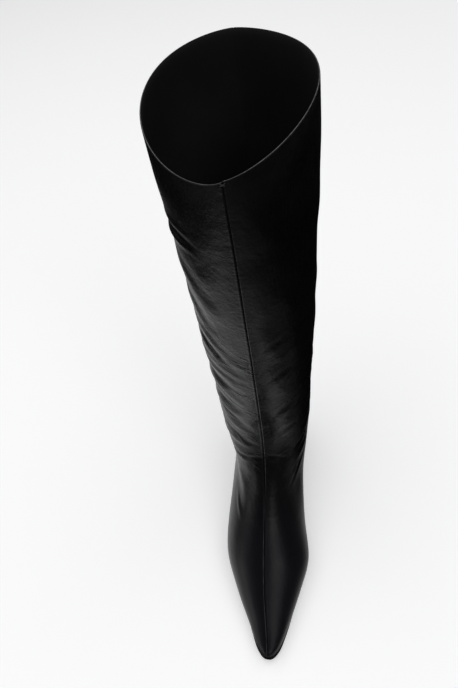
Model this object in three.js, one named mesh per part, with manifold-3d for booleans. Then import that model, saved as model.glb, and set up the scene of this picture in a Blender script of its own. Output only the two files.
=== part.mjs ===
// A right knee-high pull-on boot of soft leather, with a pointed toe and a low slim heel.
// Its pieces are a hollow upper with a front and a back seam, an insole, an outsole, a heel block and
// the top lift that the heel stands on. Millimetres, +Z up, toe towards -Y, inner side towards +X.
import * as THREE from "three";
import { mergeVertices } from "three/addons/utils/BufferGeometryUtils.js";
import Module from "manifold-3d";

const wasm = await Module();
wasm.setup();

// Driving dimensions of the boot, outside measures.
const bootLength = 269; // back of the heel to the tip of the toe
const bootHeight = 450; // floor to the collar at its sides and back
const collarWidth = 110; // across the collar
const collarDepth = 137; // front to back of the collar
const collarDip = 26; // how far the collar falls at the front seam
const outerDrop = 8; // and at the middle of its outer side
const innerLift = 2; // how far it rises at the middle of its inner side
const collarPlace = 45; // middle of the collar, forward of the back of the heel
const ankleWidth = 89; // across the narrowest part of the shaft
const ankleDepth = 94; // front to back there
const anklePlace = 56; // middle of the ankle, forward of the back of the heel
const ankleHeight = 124; // floor to the narrowest part of the shaft
const instepHeight = 62; // upper's height over the seat line at the waist of the foot
const ballWidth = 84; // across the ball of the foot
const heelHeight = 36; // floor to the upper's edge at the heel
const shaftLean = -4; // how far the collar stands over to the outer side
const ankleLean = -1.3; // and the ankle
const shaftTwist = THREE.MathUtils.degToRad(1.8); // turn of the collar to the inner side
const toeCurve = 6.5; // how far the toe bends to the inner side

// Sizes of the single pieces.
const wall = 1.8; // leather with its lining
const gap = 0.3; // clearance between two pieces
const seamDepth = 0.8; // groove where the two panels are sewn edge to edge
const seamRoll = 0.3; // how far the leather rolls up beside the groove
const soleThickness = 3.5; // outsole under the ball
const shankThickness = 2.6; // outsole under the waist and the heel
const soleEdge = 1.2; // outsole past the upper
const toeSpring = 6; // lift of the sole at the tip of the toe
const insoleThickness = 2.5;
const breastPlace = 50; // front face of the heel block at the sole
const heelInset = 1.5; // heel block inside the outsole's edge
const liftWidth = 39;
const liftDepth = 37;
const liftPlace = 9; // back of the top lift, forward of the back of the heel
const liftThickness = 6;

// Places along the foot, as shares of its length.
const seatEnd = 0.04; // the seat slopes down from here
const treadStart = 0.645; // the sole lies flat on the floor from here
const treadEnd = 0.77; // and rises to the toe from here
const archPower = 1.25; // how late the arch falls
const springPower = 1.6;
const underDrop = 10; // depth of the last's round underside, which the sole line cuts off
const underShare = 0.16; // where low in the table below stands for that whole depth
const collarStart = 0.6; // the collar's dip and slant begin here, as a share of the shaft
const dipPower = 2.5; // how late round the collar the dip comes
const insideRise = 8; // how far the inner skin runs on above the collar
const slabStart = -0.1; // the sole line is worked out from here
const slabEnd = 1.1; // to here
const waistEnd = 0.5; // the outsole grows thicker from here to the tread
const soleBevel = 0.5; // its lower edge is this much further in
const heelCurve = 1.7; // how soon the heel block tapers
const liftRound = 0.85; // squareness of the top lift's round back
const rungCount = 40; // sections of the sole's outline
const heelSections = 12; // sections of the last that shape the round of the heel

// Sections of the shaft from the collar down. Shares run from 0 at the ankle to 1 at the collar.
const SHAFT = [
  { up: 1.0, front: 1.0, back: 1.0, width: 1.0, steps: 3 },
  { up: 0.836, front: 0.945, back: 0.957, width: 0.971, steps: 3 },
  { up: 0.642, front: 0.795, back: 0.853, width: 0.71, steps: 3 },
  { up: 0.447, front: 0.5, back: 0.643, width: 0.57, steps: 3 },
  { up: 0.252, front: 0.18, back: 0.372, width: 0.304, steps: 2 },
  { up: 0.097, front: 0.024, back: 0.135, width: 0.076, steps: 2 },
];
const shaftLens = 1.28; // how far the collar draws to a point at its two seams
const anklePeak = 0.82; // how broad the ankle is in front
const ankleTilt = 4; // front of the ankle's section over its middle, and back of it under

// Sections from the ankle round the heel to the toe, each a slanting plane through a front and a
// back point. Places are shares of the length, heights shares of the instep over the sole line,
// widths shares of half the ball. widest is the place of the widest point between back and front,
// square how flat the underside is, peak how far the top draws to the seam, lean a share of ankleLean
// and bend one of toeCurve.
const FOOT = [
  { front: 0.396, top: 1.497, back: 0.026, low: 0.913, outer: 1.045, inner: 1.045, widest: 0.45,
    square: 1, peak: 0.78, lean: 0.9, bend: 0, steps: 2 },
  { front: 0.418, top: 1.353, back: 0.007, low: 0.524, outer: 1.0, inner: 1.0, widest: 0.42,
    square: 0.95, peak: 0.78, lean: 0.7, bend: 0, steps: 3 },
  { front: 0.447, top: 1.252, back: 0.0, low: 0.25, outer: 0.95, inner: 0.99, widest: 0.39,
    square: 0.9, peak: 0.82, lean: 0.5, bend: 0, steps: 4 },
  { front: 0.477, top: 1.165, back: 0.008, low: 0.02, outer: 0.92, inner: 0.96, widest: 0.37,
    square: 0.8, peak: 0.87, lean: 0.3, bend: 0, steps: 4 },
  { front: 0.51, top: 1.09, back: 0.045, low: -0.125, outer: 0.91, inner: 0.92, widest: 0.37,
    square: 0.7, peak: 0.92, lean: 0.1, bend: 0, steps: 3 },
  { front: 0.551, top: 1.005, back: 0.15, low: -0.16, outer: 0.92, inner: 0.87, widest: 0.38,
    square: 0.64, peak: 0.97, lean: 0, bend: 0, steps: 3 },
  { front: 0.606, top: 0.894, back: 0.315, low: -0.16, outer: 0.96, inner: 0.88, widest: 0.39,
    square: 0.62, peak: 1.02, lean: 0, bend: 0, steps: 3 },
  { front: 0.669, top: 0.768, back: 0.478, low: -0.16, outer: 1.01, inner: 0.95, widest: 0.4,
    square: 0.6, peak: 1.06, lean: 0, bend: 0.02, steps: 3 },
  { front: 0.732, top: 0.642, back: 0.602, low: -0.16, outer: 0.96, inner: 1.01, widest: 0.42,
    square: 0.6, peak: 1.1, lean: 0, bend: 0.08, steps: 3 },
  { front: 0.79, top: 0.534, back: 0.702, low: -0.16, outer: 0.79, inner: 0.87, widest: 0.44,
    square: 0.6, peak: 1.14, lean: 0, bend: 0.2, steps: 3 },
  { front: 0.845, top: 0.432, back: 0.793, low: -0.16, outer: 0.61, inner: 0.69, widest: 0.48,
    square: 0.6, peak: 1.16, lean: 0, bend: 0.38, steps: 3 },
  { front: 0.906, top: 0.3, back: 0.886, low: -0.16, outer: 0.41, inner: 0.48, widest: 0.55,
    square: 0.6, peak: 1.18, lean: 0, bend: 0.66, steps: 3 },
  { front: 0.954, top: 0.205, back: 0.945, low: -0.15, outer: 0.285, inner: 0.32, widest: 0.6,
    square: 0.65, peak: 1.15, lean: 0, bend: 0.86, steps: 2 },
  { front: 0.974, top: 0.17, back: 0.97, low: -0.14, outer: 0.22, inner: 0.24, widest: 0.6,
    square: 0.7, peak: 1.1, lean: 0, bend: 0.93, steps: 2 },
  { front: 0.988, top: 0.135, back: 0.986, low: -0.125, outer: 0.15, inner: 0.16, widest: 0.6,
    square: 0.78, peak: 1.05, lean: 0, bend: 0.97, steps: 1 },
  { front: 0.995, top: 0.11, back: 0.994, low: -0.11, outer: 0.095, inner: 0.1, widest: 0.58,
    square: 0.85, peak: 1, lean: 0, bend: 0.99, steps: 1 },
  { front: 0.9985, top: 0.09, back: 0.998, low: -0.09, outer: 0.045, inner: 0.05, widest: 0.55,
    square: 0.9, peak: 1, lean: 0, bend: 1, steps: 0 },
];

// Angles of a section's columns from its back or underside at -90 to its front or top at 90. The
// columns next to the ends carry the shoulders of the two seams.
const seamShoulder = 86.4;
const COLUMNS = [-90, -seamShoulder];
for (let angle = -80; angle <= 80; angle += 10) COLUMNS.push(angle);
COLUMNS.push(seamShoulder, 90);

const lerp = THREE.MathUtils.lerp;
const clamp = THREE.MathUtils.clamp;

// Height of the line between upper and sole at a share of the length.
const treadTop = soleThickness + gap;
function soleLine(share) {
  const fall = clamp((share - seatEnd) / (treadStart - seatEnd), 0, 1) ** archPower;
  const rise = clamp((share - treadEnd) / (1 - treadEnd), 0, 1.2) ** springPower;
  const arch = ((heelHeight - treadTop) * (1 + Math.cos(Math.PI * fall))) / 2;
  return treadTop + arch + toeSpring * rise;
}

// All sections in millimetres, with the same names in each.
function sections() {
  const ankleFront = anklePlace + ankleDepth / 2;
  const ankleBack = anklePlace - ankleDepth / 2;
  const rows = SHAFT.map((s) => {
    const height = lerp(ankleHeight, bootHeight, s.up);
    const half = lerp(ankleWidth, collarWidth, s.width) / 2;
    return {
      frontPlace: lerp(ankleFront, collarPlace + collarDepth / 2, s.front),
      frontHeight: height + ankleTilt * (1 - s.up),
      backPlace: lerp(ankleBack, collarPlace - collarDepth / 2, s.back),
      backHeight: height - ankleTilt * (1 - s.up),
      outer: half,
      inner: half,
      widest: 0.5,
      square: 1,
      peak: lerp(anklePeak, shaftLens, s.up),
      aside: lerp(ankleLean, shaftLean, s.up ** 3),
      twist: shaftTwist * s.up,
      dip: collarDip * clamp((s.up - collarStart) / (1 - collarStart), 0, 1),
      slant: clamp((s.up - collarStart) / (1 - collarStart), 0, 1),
      seam: 1,
      steps: s.steps,
    };
  });
  rows.push({
    frontPlace: ankleFront,
    frontHeight: ankleHeight + ankleTilt,
    backPlace: ankleBack,
    backHeight: ankleHeight - ankleTilt,
    outer: ankleWidth / 2,
    inner: ankleWidth / 2,
    widest: 0.48,
    square: 1,
    peak: anklePeak,
    aside: ankleLean,
    twist: 0,
    dip: 0,
    slant: 0,
    seam: 1,
    steps: 2,
  });
  FOOT.forEach((s) =>
    rows.push({
      frontPlace: s.front * bootLength,
      frontHeight: soleLine(s.front) + s.top * instepHeight,
      backPlace: s.back * bootLength,
      backHeight: soleLine(s.back) + (s.low < 0 ? (s.low / underShare) * underDrop : s.low * instepHeight),
      outer: (s.outer * ballWidth) / 2,
      inner: (s.inner * ballWidth) / 2,
      widest: s.widest,
      square: s.square,
      peak: s.peak,
      aside: s.lean * ankleLean + s.bend * toeCurve,
      twist: 0,
      dip: 0,
      slant: 0,
      seam: s.low > 0 ? 1 : 0,
      steps: s.steps,
    }),
  );
  return rows;
}

// Natural cubic spline through values at places; returns a function of the place.
function spline(places, values) {
  const n = places.length;
  const curve = new Array(n).fill(0);
  const work = new Array(n).fill(0);
  for (let i = 1; i < n - 1; i++) {
    const part = (places[i] - places[i - 1]) / (places[i + 1] - places[i - 1]);
    const p = part * curve[i - 1] + 2;
    const slope =
      (values[i + 1] - values[i]) / (places[i + 1] - places[i]) -
      (values[i] - values[i - 1]) / (places[i] - places[i - 1]);
    curve[i] = (part - 1) / p;
    work[i] = ((6 * slope) / (places[i + 1] - places[i - 1]) - part * work[i - 1]) / p;
  }
  for (let i = n - 2; i >= 0; i--) curve[i] = curve[i] * curve[i + 1] + work[i];
  return (x) => {
    let k = 0;
    while (k < n - 2 && x > places[k + 1]) k++;
    const h = places[k + 1] - places[k];
    const a = (places[k + 1] - x) / h;
    const b = (x - places[k]) / h;
    return (
      a * values[k] +
      b * values[k + 1] +
      (((a ** 3 - a) * curve[k] + (b ** 3 - b) * curve[k + 1]) * h * h) / 6
    );
  };
}

// Sections between those of the tables, on splines through them.
function finerSections() {
  const rows = sections();
  const along = [0];
  for (let i = 1; i < rows.length; i++) {
    const a = rows[i - 1];
    const b = rows[i];
    const front = Math.hypot(b.frontPlace - a.frontPlace, b.frontHeight - a.frontHeight);
    const back = Math.hypot(b.backPlace - a.backPlace, b.backHeight - a.backHeight);
    along.push(along[i - 1] + (front + back) / 2);
  }
  const names = Object.keys(rows[0]).filter((name) => name !== "steps");
  const curves = names.map((name) => spline(along, rows.map((row) => row[name])));
  const finer = [];
  rows.forEach((row, i) => {
    const count = Math.max(row.steps, 1);
    const end = i < rows.length - 1 ? along[i + 1] : along[i];
    for (let k = 0; k < count; k++) {
      const place = lerp(along[i], end, k / count);
      finer.push(Object.fromEntries(names.map((name, c) => [name, curves[c](place)])));
    }
  });
  return finer;
}

// Point of a section at a column's angle on one side, -1 the outer and 1 the inner side.
function sectionPoint(row, angle, side) {
  const turn = THREE.MathUtils.degToRad(angle);
  const sine = Math.sin(turn);
  const cosine = Math.abs(Math.cos(turn)) < 1e-9 ? 0 : Math.cos(turn);
  const half = side < 0 ? row.outer : row.inner;
  const power = sine > 0 ? row.peak : row.square * row.peak;
  const across = side * half * cosine ** power;
  const share = row.widest + (sine > 0 ? 1 - row.widest : row.widest) * sine;
  const slant = 2 * row.slant * cosine * share * (side < 0 ? outerDrop : -innerLift);
  const fall = row.dip * clamp(share, 0, 1) ** dipPower + slant;
  const place = lerp(row.backPlace, row.frontPlace, share);
  const height = lerp(row.backHeight, row.frontHeight, share) - fall;
  const centre = (row.backPlace + row.frontPlace) / 2;
  const ahead = place - centre;
  return new THREE.Vector3(
    row.aside + across * Math.cos(row.twist) + ahead * Math.sin(row.twist),
    -(centre + ahead * Math.cos(row.twist) - across * Math.sin(row.twist)),
    height,
  );
}

// The ring of a section: up its outer side from the back to the front, and down its inner side.
function ringOf(row) {
  const last = COLUMNS.length - 1;
  const outer = COLUMNS.map((angle) => sectionPoint(row, angle, -1));
  const inner = COLUMNS.map((angle) => sectionPoint(row, angle, 1));
  return outer.concat(inner.slice(1, last).reverse());
}

const SECTIONS = finerSections();
const LAST = SECTIONS.map(ringOf);
const ringSize = LAST[0].length;
const frontColumn = COLUMNS.length - 1;

// Normals of the grid, from its neighbours along and across.
function normalAt(grid, i, j) {
  const ahead = grid[Math.min(i + 1, grid.length - 1)][j];
  const behind = grid[Math.max(i - 1, 0)][j];
  const left = grid[i][(j + ringSize - 1) % ringSize];
  const right = grid[i][(j + 1) % ringSize];
  const down = ahead.clone().sub(behind);
  const round = right.clone().sub(left);
  return down.cross(round).normalize();
}

// Relief of the two seams: a groove on the seam, and a roll beside it.
function seamRelief(row, j) {
  const fromFront = Math.abs(j - frontColumn);
  const fromBack = Math.min(j, ringSize - j);
  if (fromFront === 0) return -seamDepth;
  if (fromFront === 1) return seamRoll;
  if (fromBack === 0) return -seamDepth * clamp(row.seam, 0, 1);
  if (fromBack === 1) return seamRoll * clamp(row.seam, 0, 1);
  return 0;
}

// The last's surface moved out by an offset, as a grid of points.
function skin(offset, sewn) {
  return LAST.map((ring, i) =>
    ring.map((point, j) => {
      const relief = sewn ? seamRelief(SECTIONS[i], j) : 0;
      return point.clone().addScaledVector(normalAt(LAST, i, j), offset + relief);
    }),
  );
}

// Closed mesh of a stack of rings, each anticlockwise from above, with a fan over each end.
function closedStack(rings) {
  const size = rings[0].length;
  const positions = [];
  rings.forEach((ring) => ring.forEach((p) => positions.push(p.x, p.y, p.z)));
  const faces = [];
  for (let i = 0; i < rings.length - 1; i++) {
    for (let j = 0; j < size; j++) {
      const a = i * size + j;
      const b = i * size + ((j + 1) % size);
      faces.push(a, a + size, b, b, a + size, b + size);
    }
  }
  [rings[0], rings[rings.length - 1]].forEach((ring, end) => {
    const centre = new THREE.Vector3();
    ring.forEach((p) => centre.addScaledVector(p, 1 / size));
    const tip = positions.length / 3;
    positions.push(centre.x, centre.y, centre.z);
    const start = end ? (rings.length - 1) * size : 0;
    for (let j = 0; j < size; j++) {
      const a = start + j;
      const b = start + ((j + 1) % size);
      if (end) faces.push(b, a, tip);
      else faces.push(a, b, tip);
    }
  });
  const geometry = new THREE.BufferGeometry();
  geometry.setAttribute("position", new THREE.Float32BufferAttribute(positions, 3));
  geometry.setIndex(faces);
  return geometry;
}

// A geometry as a solid that can be cut and joined.
function solid(geometry) {
  const plain = geometry.clone();
  plain.deleteAttribute("normal");
  plain.deleteAttribute("uv");
  const merged = mergeVertices(plain, 1e-4);
  const made = new wasm.Manifold(
    new wasm.Mesh({
      numProp: 3,
      vertProperties: Float32Array.from(merged.attributes.position.array),
      triVerts: Uint32Array.from(merged.index.array),
    }),
  );
  return made;
}

// A solid as a geometry again.
function geometryOf(body) {
  const mesh = body.getMesh();
  const geometry = new THREE.BufferGeometry();
  const places = Float32Array.from(mesh.vertProperties);
  geometry.setAttribute("position", new THREE.BufferAttribute(places, 3));
  geometry.setIndex(new THREE.BufferAttribute(Uint32Array.from(mesh.triVerts), 1));
  return geometry;
}

// Everything more than a drop under the sole line, a slab that runs right across the boot.
function underSole(drop) {
  const count = 48;
  const outline = new THREE.Shape();
  outline.moveTo(slabStart * bootLength, -bootLength);
  outline.lineTo(slabEnd * bootLength, -bootLength);
  for (let i = 0; i <= count; i++) {
    const share = lerp(slabEnd, slabStart, i / count);
    outline.lineTo(share * bootLength, soleLine(share) - drop);
  }
  const slab = new THREE.ExtrudeGeometry(outline, { depth: 2 * bootLength, bevelEnabled: false });
  const turn = new THREE.Matrix4().makeBasis(
    new THREE.Vector3(0, -1, 0),
    new THREE.Vector3(0, 0, 1),
    new THREE.Vector3(-1, 0, 0),
  );
  return solid(slab.applyMatrix4(turn).translate(bootLength, 0, 0));
}

// Upper: the sewn skin less the inner skin, which runs on above the collar, cut at the sole line.
function makeUpper() {
  const inner = skin(-wall, false);
  const above = inner[0].map((p) => p.clone().add(new THREE.Vector3(0, 0, insideRise)));
  const hollow = solid(closedStack([above, ...inner]));
  const body = solid(closedStack(skin(0, true)));
  return geometryOf(body.subtract(hollow).subtract(underSole(0)));
}

// One side of the feather line, where the last's surface meets the sole line: its points in plan
// from the back of the heel to the toe. Round the heel it takes the crossings of the columns as
// well as those of the sections.
function featherSide(column) {
  const over = (p) => p.z - soleLine(-p.y / bootLength);
  const meet = (a, b) => a.clone().lerp(b, over(a) / (over(a) - over(b)));
  const first = LAST.findIndex((ring) => over(ring[0]) < 0);
  const found = [meet(LAST[first][0], LAST[first - 1][0])];
  LAST.slice(first).forEach((ring) => {
    let k = 1;
    while (k < frontColumn && over(ring[column(k)]) < 0) k++;
    found.push(meet(ring[column(k - 1)], ring[column(k)]));
  });
  for (let k = 1; k < frontColumn / 2; k++) {
    const i = LAST.findIndex((ring) => over(ring[column(k)]) < 0);
    if (i > 0 && i < first + heelSections) found.push(meet(LAST[i - 1][column(k)], LAST[i][column(k)]));
  }
  return found.sort((a, b) => b.y - a.y);
}

// Outline of the seat in plan, in rungs across it that lie closer together at both its ends: from the
// back of the heel along the outer side to the toe, and back along the inner side.
function featherOutline() {
  const outer = featherSide((k) => k);
  const inner = featherSide((k) => (ringSize - k) % ringSize);
  const start = outer[0];
  const end = Math.max(outer[outer.length - 1].y, inner[inner.length - 1].y);
  const acrossAt = (line, y) => {
    const k = Math.max(line.findIndex((p) => p.y <= y), 1);
    const part = (line[k - 1].y - y) / Math.max(line[k - 1].y - line[k].y, 1e-6);
    return new THREE.Vector2(lerp(line[k - 1].x, line[k].x, part), y);
  };
  const places = [];
  for (let k = 1; k <= rungCount; k++) {
    places.push(lerp(start.y, end, (1 - Math.cos((Math.PI * k) / rungCount)) / 2));
  }
  const outerPoints = places.map((y) => acrossAt(outer, y));
  const innerPoints = places.map((y) => acrossAt(inner, y));
  return [new THREE.Vector2(start.x, start.y), ...outerPoints, ...innerPoints.reverse()];
}

const FEATHER = featherOutline();

// The feather line moved outwards in plan, square to itself, as points along and across.
function outlineAt(offset) {
  const size = FEATHER.length;
  return FEATHER.map((p, i) => {
    const ahead = FEATHER[(i + 1) % size];
    const behind = FEATHER[(i + size - 1) % size];
    const before = new THREE.Vector2(p.y - behind.y, behind.x - p.x).normalize();
    const after = new THREE.Vector2(ahead.y - p.y, p.x - ahead.x).normalize();
    const out = before.clone().add(after).normalize();
    const reach = offset / Math.max(out.dot(before), 0.7);
    return new THREE.Vector2(p.x + out.x * reach, p.y + out.y * reach);
  });
}

// Plate between an upper and a lower outline of the sole, with heights that follow a function of
// the share of the length. Its faces run across from one side of the outline to the other.
function plate(topLine, topHeight, lowLine, lowHeight) {
  const size = topLine.length;
  const positions = [];
  const lay = (line, height) =>
    line.forEach((p) => positions.push(p.x, p.y, height(-p.y / bootLength)));
  lay(topLine, topHeight);
  lay(lowLine, lowHeight);
  const faces = [];
  for (let i = 0; i < size; i++) {
    const next = (i + 1) % size;
    faces.push(i, i + size, next, next, i + size, next + size);
  }
  for (let k = 0; k < size / 2 - 1; k++) {
    const outer = k;
    const inner = (size - k) % size;
    const nextOuter = k + 1;
    const nextInner = size - k - 1;
    if (inner !== outer) {
      faces.push(outer, nextOuter, inner);
      faces.push(size + outer, size + inner, size + nextOuter);
    }
    faces.push(inner, nextOuter, nextInner);
    faces.push(size + inner, size + nextInner, size + nextOuter);
  }
  const geometry = new THREE.BufferGeometry();
  geometry.setAttribute("position", new THREE.Float32BufferAttribute(positions, 3));
  geometry.setIndex(faces);
  return geometry;
}

// Thickness of the outsole at a share of the length: thin under the waist and the heel.
function soleDepth(share) {
  const part = THREE.MathUtils.smoothstep(share, waistEnd, treadStart);
  return lerp(shankThickness, soleThickness, part);
}

// Outsole: follows the feather line just outside the upper, flat on the floor under the ball.
function makeOutsole() {
  const top = (share) => soleLine(share) - gap;
  const low = (share) => soleLine(share) - gap - soleDepth(share);
  return plate(outlineAt(soleEdge), top, outlineAt(soleEdge - soleBevel), low);
}

// Insole: lies in the upper on the sole line and closes the opening underneath.
function makeInsole() {
  const low = (share) => soleLine(share);
  const top = (share) => soleLine(share) + insoleThickness;
  const board = solid(plate(outlineAt(wall), top, outlineAt(wall), low));
  return geometryOf(board.intersect(solid(closedStack(skin(-wall - gap, false)))));
}

// Outline of the heel block under the sole, from its inner front corner round the back.
function heelSeatOutline() {
  const line = outlineAt(soleEdge - heelInset);
  const half = Math.floor(line.length / 2);
  const side = (points) => {
    const kept = points.filter((p) => -p.y < breastPlace);
    const last = kept[kept.length - 1];
    const next = points[kept.length];
    const part = (breastPlace + last.y) / (last.y - next.y);
    return [...kept, last.clone().lerp(next, part)];
  };
  const outer = side(line.slice(0, half));
  const inner = side([line[0], ...line.slice(half).reverse()]);
  return [...inner.reverse(), ...outer.slice(1)];
}

// Outline of the top lift, with as many points as the seat's: straight in front and round behind.
function liftOutline(seat) {
  const steps = seat.map((p, i) => (i ? p.distanceTo(seat[i - 1]) : 0));
  const total = steps.reduce((sum, step) => sum + step, 0);
  let gone = 0;
  return steps.map((step) => {
    gone += step;
    const turn = (Math.PI * gone) / total;
    const sway = Math.sign(Math.cos(turn)) * Math.abs(Math.cos(turn)) ** liftRound;
    const place = liftPlace + liftDepth * (1 - Math.max(Math.sin(turn), 0) ** liftRound);
    return new THREE.Vector2((sway * liftWidth) / 2, -place);
  });
}

const SEAT = heelSeatOutline();
const LIFT = liftOutline(SEAT);

// Heel block: tapers from the seat outline to the lift's, and is cut to the sole above it.
function makeHeel() {
  const low = liftThickness + gap;
  const high = heelHeight + gap;
  const count = 7;
  const rings = [];
  for (let i = 0; i < count; i++) {
    const part = i / (count - 1);
    const taper = 1 - (1 - part) ** heelCurve;
    const ring = SEAT.map((p, k) => p.clone().lerp(LIFT[k], taper));
    rings.push(ring.map((p) => new THREE.Vector3(p.x, p.y, lerp(high, low, part))));
  }
  return geometryOf(solid(closedStack(rings)).intersect(underSole(2 * gap + shankThickness)));
}

// Top lift: the hard-wearing plate that stands on the floor.
function makeTopLift() {
  const ring = (height) => LIFT.map((p) => new THREE.Vector3(p.x, p.y, height));
  return closedStack([ring(liftThickness), ring(0)]);
}

const leather = new THREE.MeshStandardMaterial({ color: 0x141314, roughness: 0.42, metalness: 0 });
const lining = new THREE.MeshStandardMaterial({ color: 0x1c1b1d, roughness: 0.75, metalness: 0 });
const soleLeather = new THREE.MeshStandardMaterial({ color: 0x161515, roughness: 0.5, metalness: 0 });
const rubber = new THREE.MeshStandardMaterial({ color: 0x101010, roughness: 0.7, metalness: 0 });

const pieces = new THREE.Group();
[
  ["upper", makeUpper(), leather],
  ["insole", makeInsole(), lining],
  ["outsole", makeOutsole(), soleLeather],
  ["heel", makeHeel(), leather],
  ["top_lift", makeTopLift(), rubber],
].forEach(([name, geometry, material]) => {
  const mesh = new THREE.Mesh(geometry, material);
  mesh.name = name;
  pieces.add(mesh);
});

// The boot's own origin is on the floor, in the middle of its length and width.
const boot = new THREE.Group();
const box = new THREE.Box3().setFromObject(pieces);
const middle = box.getCenter(new THREE.Vector3());
pieces.position.set(-middle.x, -middle.y, 0);
boot.add(pieces);

export default boot;
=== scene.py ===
# A right knee-high pull-on boot in soft black leather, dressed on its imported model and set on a
# pale studio floor. Sizes are in millimetres until a mesh is made; +Z is up, the toe points to -Y
# and the inner side of the foot is +X.
import math
import bmesh
import bpy
import numpy as np
from mathutils import Matrix, Vector


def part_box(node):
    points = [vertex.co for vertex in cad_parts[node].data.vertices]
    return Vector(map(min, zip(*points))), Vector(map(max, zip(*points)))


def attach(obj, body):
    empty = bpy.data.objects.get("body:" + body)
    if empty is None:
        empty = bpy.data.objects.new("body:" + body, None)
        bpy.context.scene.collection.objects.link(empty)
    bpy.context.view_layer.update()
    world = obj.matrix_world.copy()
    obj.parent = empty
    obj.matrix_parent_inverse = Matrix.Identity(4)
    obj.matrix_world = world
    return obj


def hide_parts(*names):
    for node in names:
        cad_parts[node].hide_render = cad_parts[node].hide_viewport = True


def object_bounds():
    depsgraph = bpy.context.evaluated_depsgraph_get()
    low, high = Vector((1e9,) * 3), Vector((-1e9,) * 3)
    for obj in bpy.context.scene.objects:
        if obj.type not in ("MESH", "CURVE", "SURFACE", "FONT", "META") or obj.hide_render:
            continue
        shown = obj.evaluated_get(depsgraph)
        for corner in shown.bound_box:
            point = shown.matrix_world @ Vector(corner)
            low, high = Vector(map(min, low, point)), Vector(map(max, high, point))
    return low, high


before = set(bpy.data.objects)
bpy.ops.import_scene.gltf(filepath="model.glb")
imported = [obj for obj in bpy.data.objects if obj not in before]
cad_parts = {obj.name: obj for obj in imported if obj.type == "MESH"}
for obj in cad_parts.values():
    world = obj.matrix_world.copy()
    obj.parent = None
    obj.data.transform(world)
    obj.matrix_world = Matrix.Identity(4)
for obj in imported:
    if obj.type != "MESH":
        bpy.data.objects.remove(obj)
cad_low, cad_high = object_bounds()

# Last and upper
# The upper is two panels of soft nappa with a thin lining, closed edge to edge by a seam down the
# front from collar to toe and one down the back. It is lasted over a pointed foot form and its
# lower edge, the feather line, lies on the sole. Its folds are set into the surface.
MM = 0.001
boot_length, boot_height = 269.0, 450.0
collar_width, collar_depth, collar_dip, collar_place = 110.0, 137.0, 26.0, 45.0
outer_drop, inner_lift, collar_start, dip_power = 8.0, 2.0, 0.6, 2.5
ankle_width, ankle_depth, ankle_place, ankle_height = 89.0, 94.0, 56.0, 124.0
instep_height, ball_width, heel_height = 62.0, 84.0, 36.0
shaft_lean, ankle_lean, toe_curve = -4.0, -1.3, 6.5
shaft_twist = math.radians(1.8)
leather_wall = 1.8
piece_gap = 0.3
sole_thickness = 3.5
toe_spring, under_drop, under_share = 6.0, 10.0, 0.16
seat_end, tread_start, tread_end = 0.04, 0.645, 0.77
arch_power, spring_power = 1.25, 1.6
shaft_lens, ankle_peak, ankle_tilt = 1.28, 0.82, 4.0

# Shaft sections from the collar down, as shares from 0 at the ankle to 1 at the collar:
# up, front, back, width.
SHAFT = (
    (1.0, 1.0, 1.0, 1.0),
    (0.836, 0.945, 0.957, 0.971),
    (0.642, 0.795, 0.853, 0.71),
    (0.447, 0.5, 0.643, 0.57),
    (0.252, 0.18, 0.372, 0.304),
    (0.097, 0.024, 0.135, 0.076),
)
# Foot sections round the heel to the toe: front, top, back, low, outer, inner, widest, square,
# peak, lean, bend. Places are shares of the length, heights of the instep, widths of the ball.
FOOT = (
    (0.396, 1.497, 0.026, 0.913, 1.045, 1.045, 0.45, 1.0, 0.78, 0.9, 0.0),
    (0.418, 1.353, 0.007, 0.524, 1.0, 1.0, 0.42, 0.95, 0.78, 0.7, 0.0),
    (0.447, 1.252, 0.0, 0.25, 0.95, 0.99, 0.39, 0.9, 0.82, 0.5, 0.0),
    (0.477, 1.165, 0.008, 0.02, 0.92, 0.96, 0.37, 0.8, 0.87, 0.3, 0.0),
    (0.51, 1.09, 0.045, -0.125, 0.91, 0.92, 0.37, 0.7, 0.92, 0.1, 0.0),
    (0.551, 1.005, 0.15, -0.16, 0.92, 0.87, 0.38, 0.64, 0.97, 0.0, 0.0),
    (0.606, 0.894, 0.315, -0.16, 0.96, 0.88, 0.39, 0.62, 1.02, 0.0, 0.0),
    (0.669, 0.768, 0.478, -0.16, 1.01, 0.95, 0.4, 0.6, 1.06, 0.0, 0.02),
    (0.732, 0.642, 0.602, -0.16, 0.96, 1.01, 0.42, 0.6, 1.1, 0.0, 0.08),
    (0.79, 0.534, 0.702, -0.16, 0.79, 0.87, 0.44, 0.6, 1.14, 0.0, 0.2),
    (0.845, 0.432, 0.793, -0.16, 0.61, 0.69, 0.48, 0.6, 1.16, 0.0, 0.38),
    (0.906, 0.3, 0.886, -0.16, 0.41, 0.48, 0.55, 0.6, 1.18, 0.0, 0.66),
    (0.954, 0.205, 0.945, -0.15, 0.285, 0.32, 0.6, 0.65, 1.05, 0.0, 0.86),
    (0.974, 0.17, 0.97, -0.14, 0.22, 0.24, 0.61, 0.7, 0.95, 0.0, 0.93),
    (0.988, 0.145, 0.986, -0.125, 0.155, 0.165, 0.62, 0.78, 0.88, 0.0, 0.97),
    (0.995, 0.128, 0.994, -0.11, 0.11, 0.115, 0.6, 0.85, 0.85, 0.0, 0.99),
    (0.9985, 0.113, 0.998, -0.09, 0.068, 0.073, 0.58, 0.9, 0.85, 0.0, 1.0),
)
LIFT_PLACE = 9.0
lift_low, lift_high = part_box("top_lift")
origin_across = (lift_low.x + lift_high.x) / 2 / MM
origin_along = lift_high.y / MM + LIFT_PLACE


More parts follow.
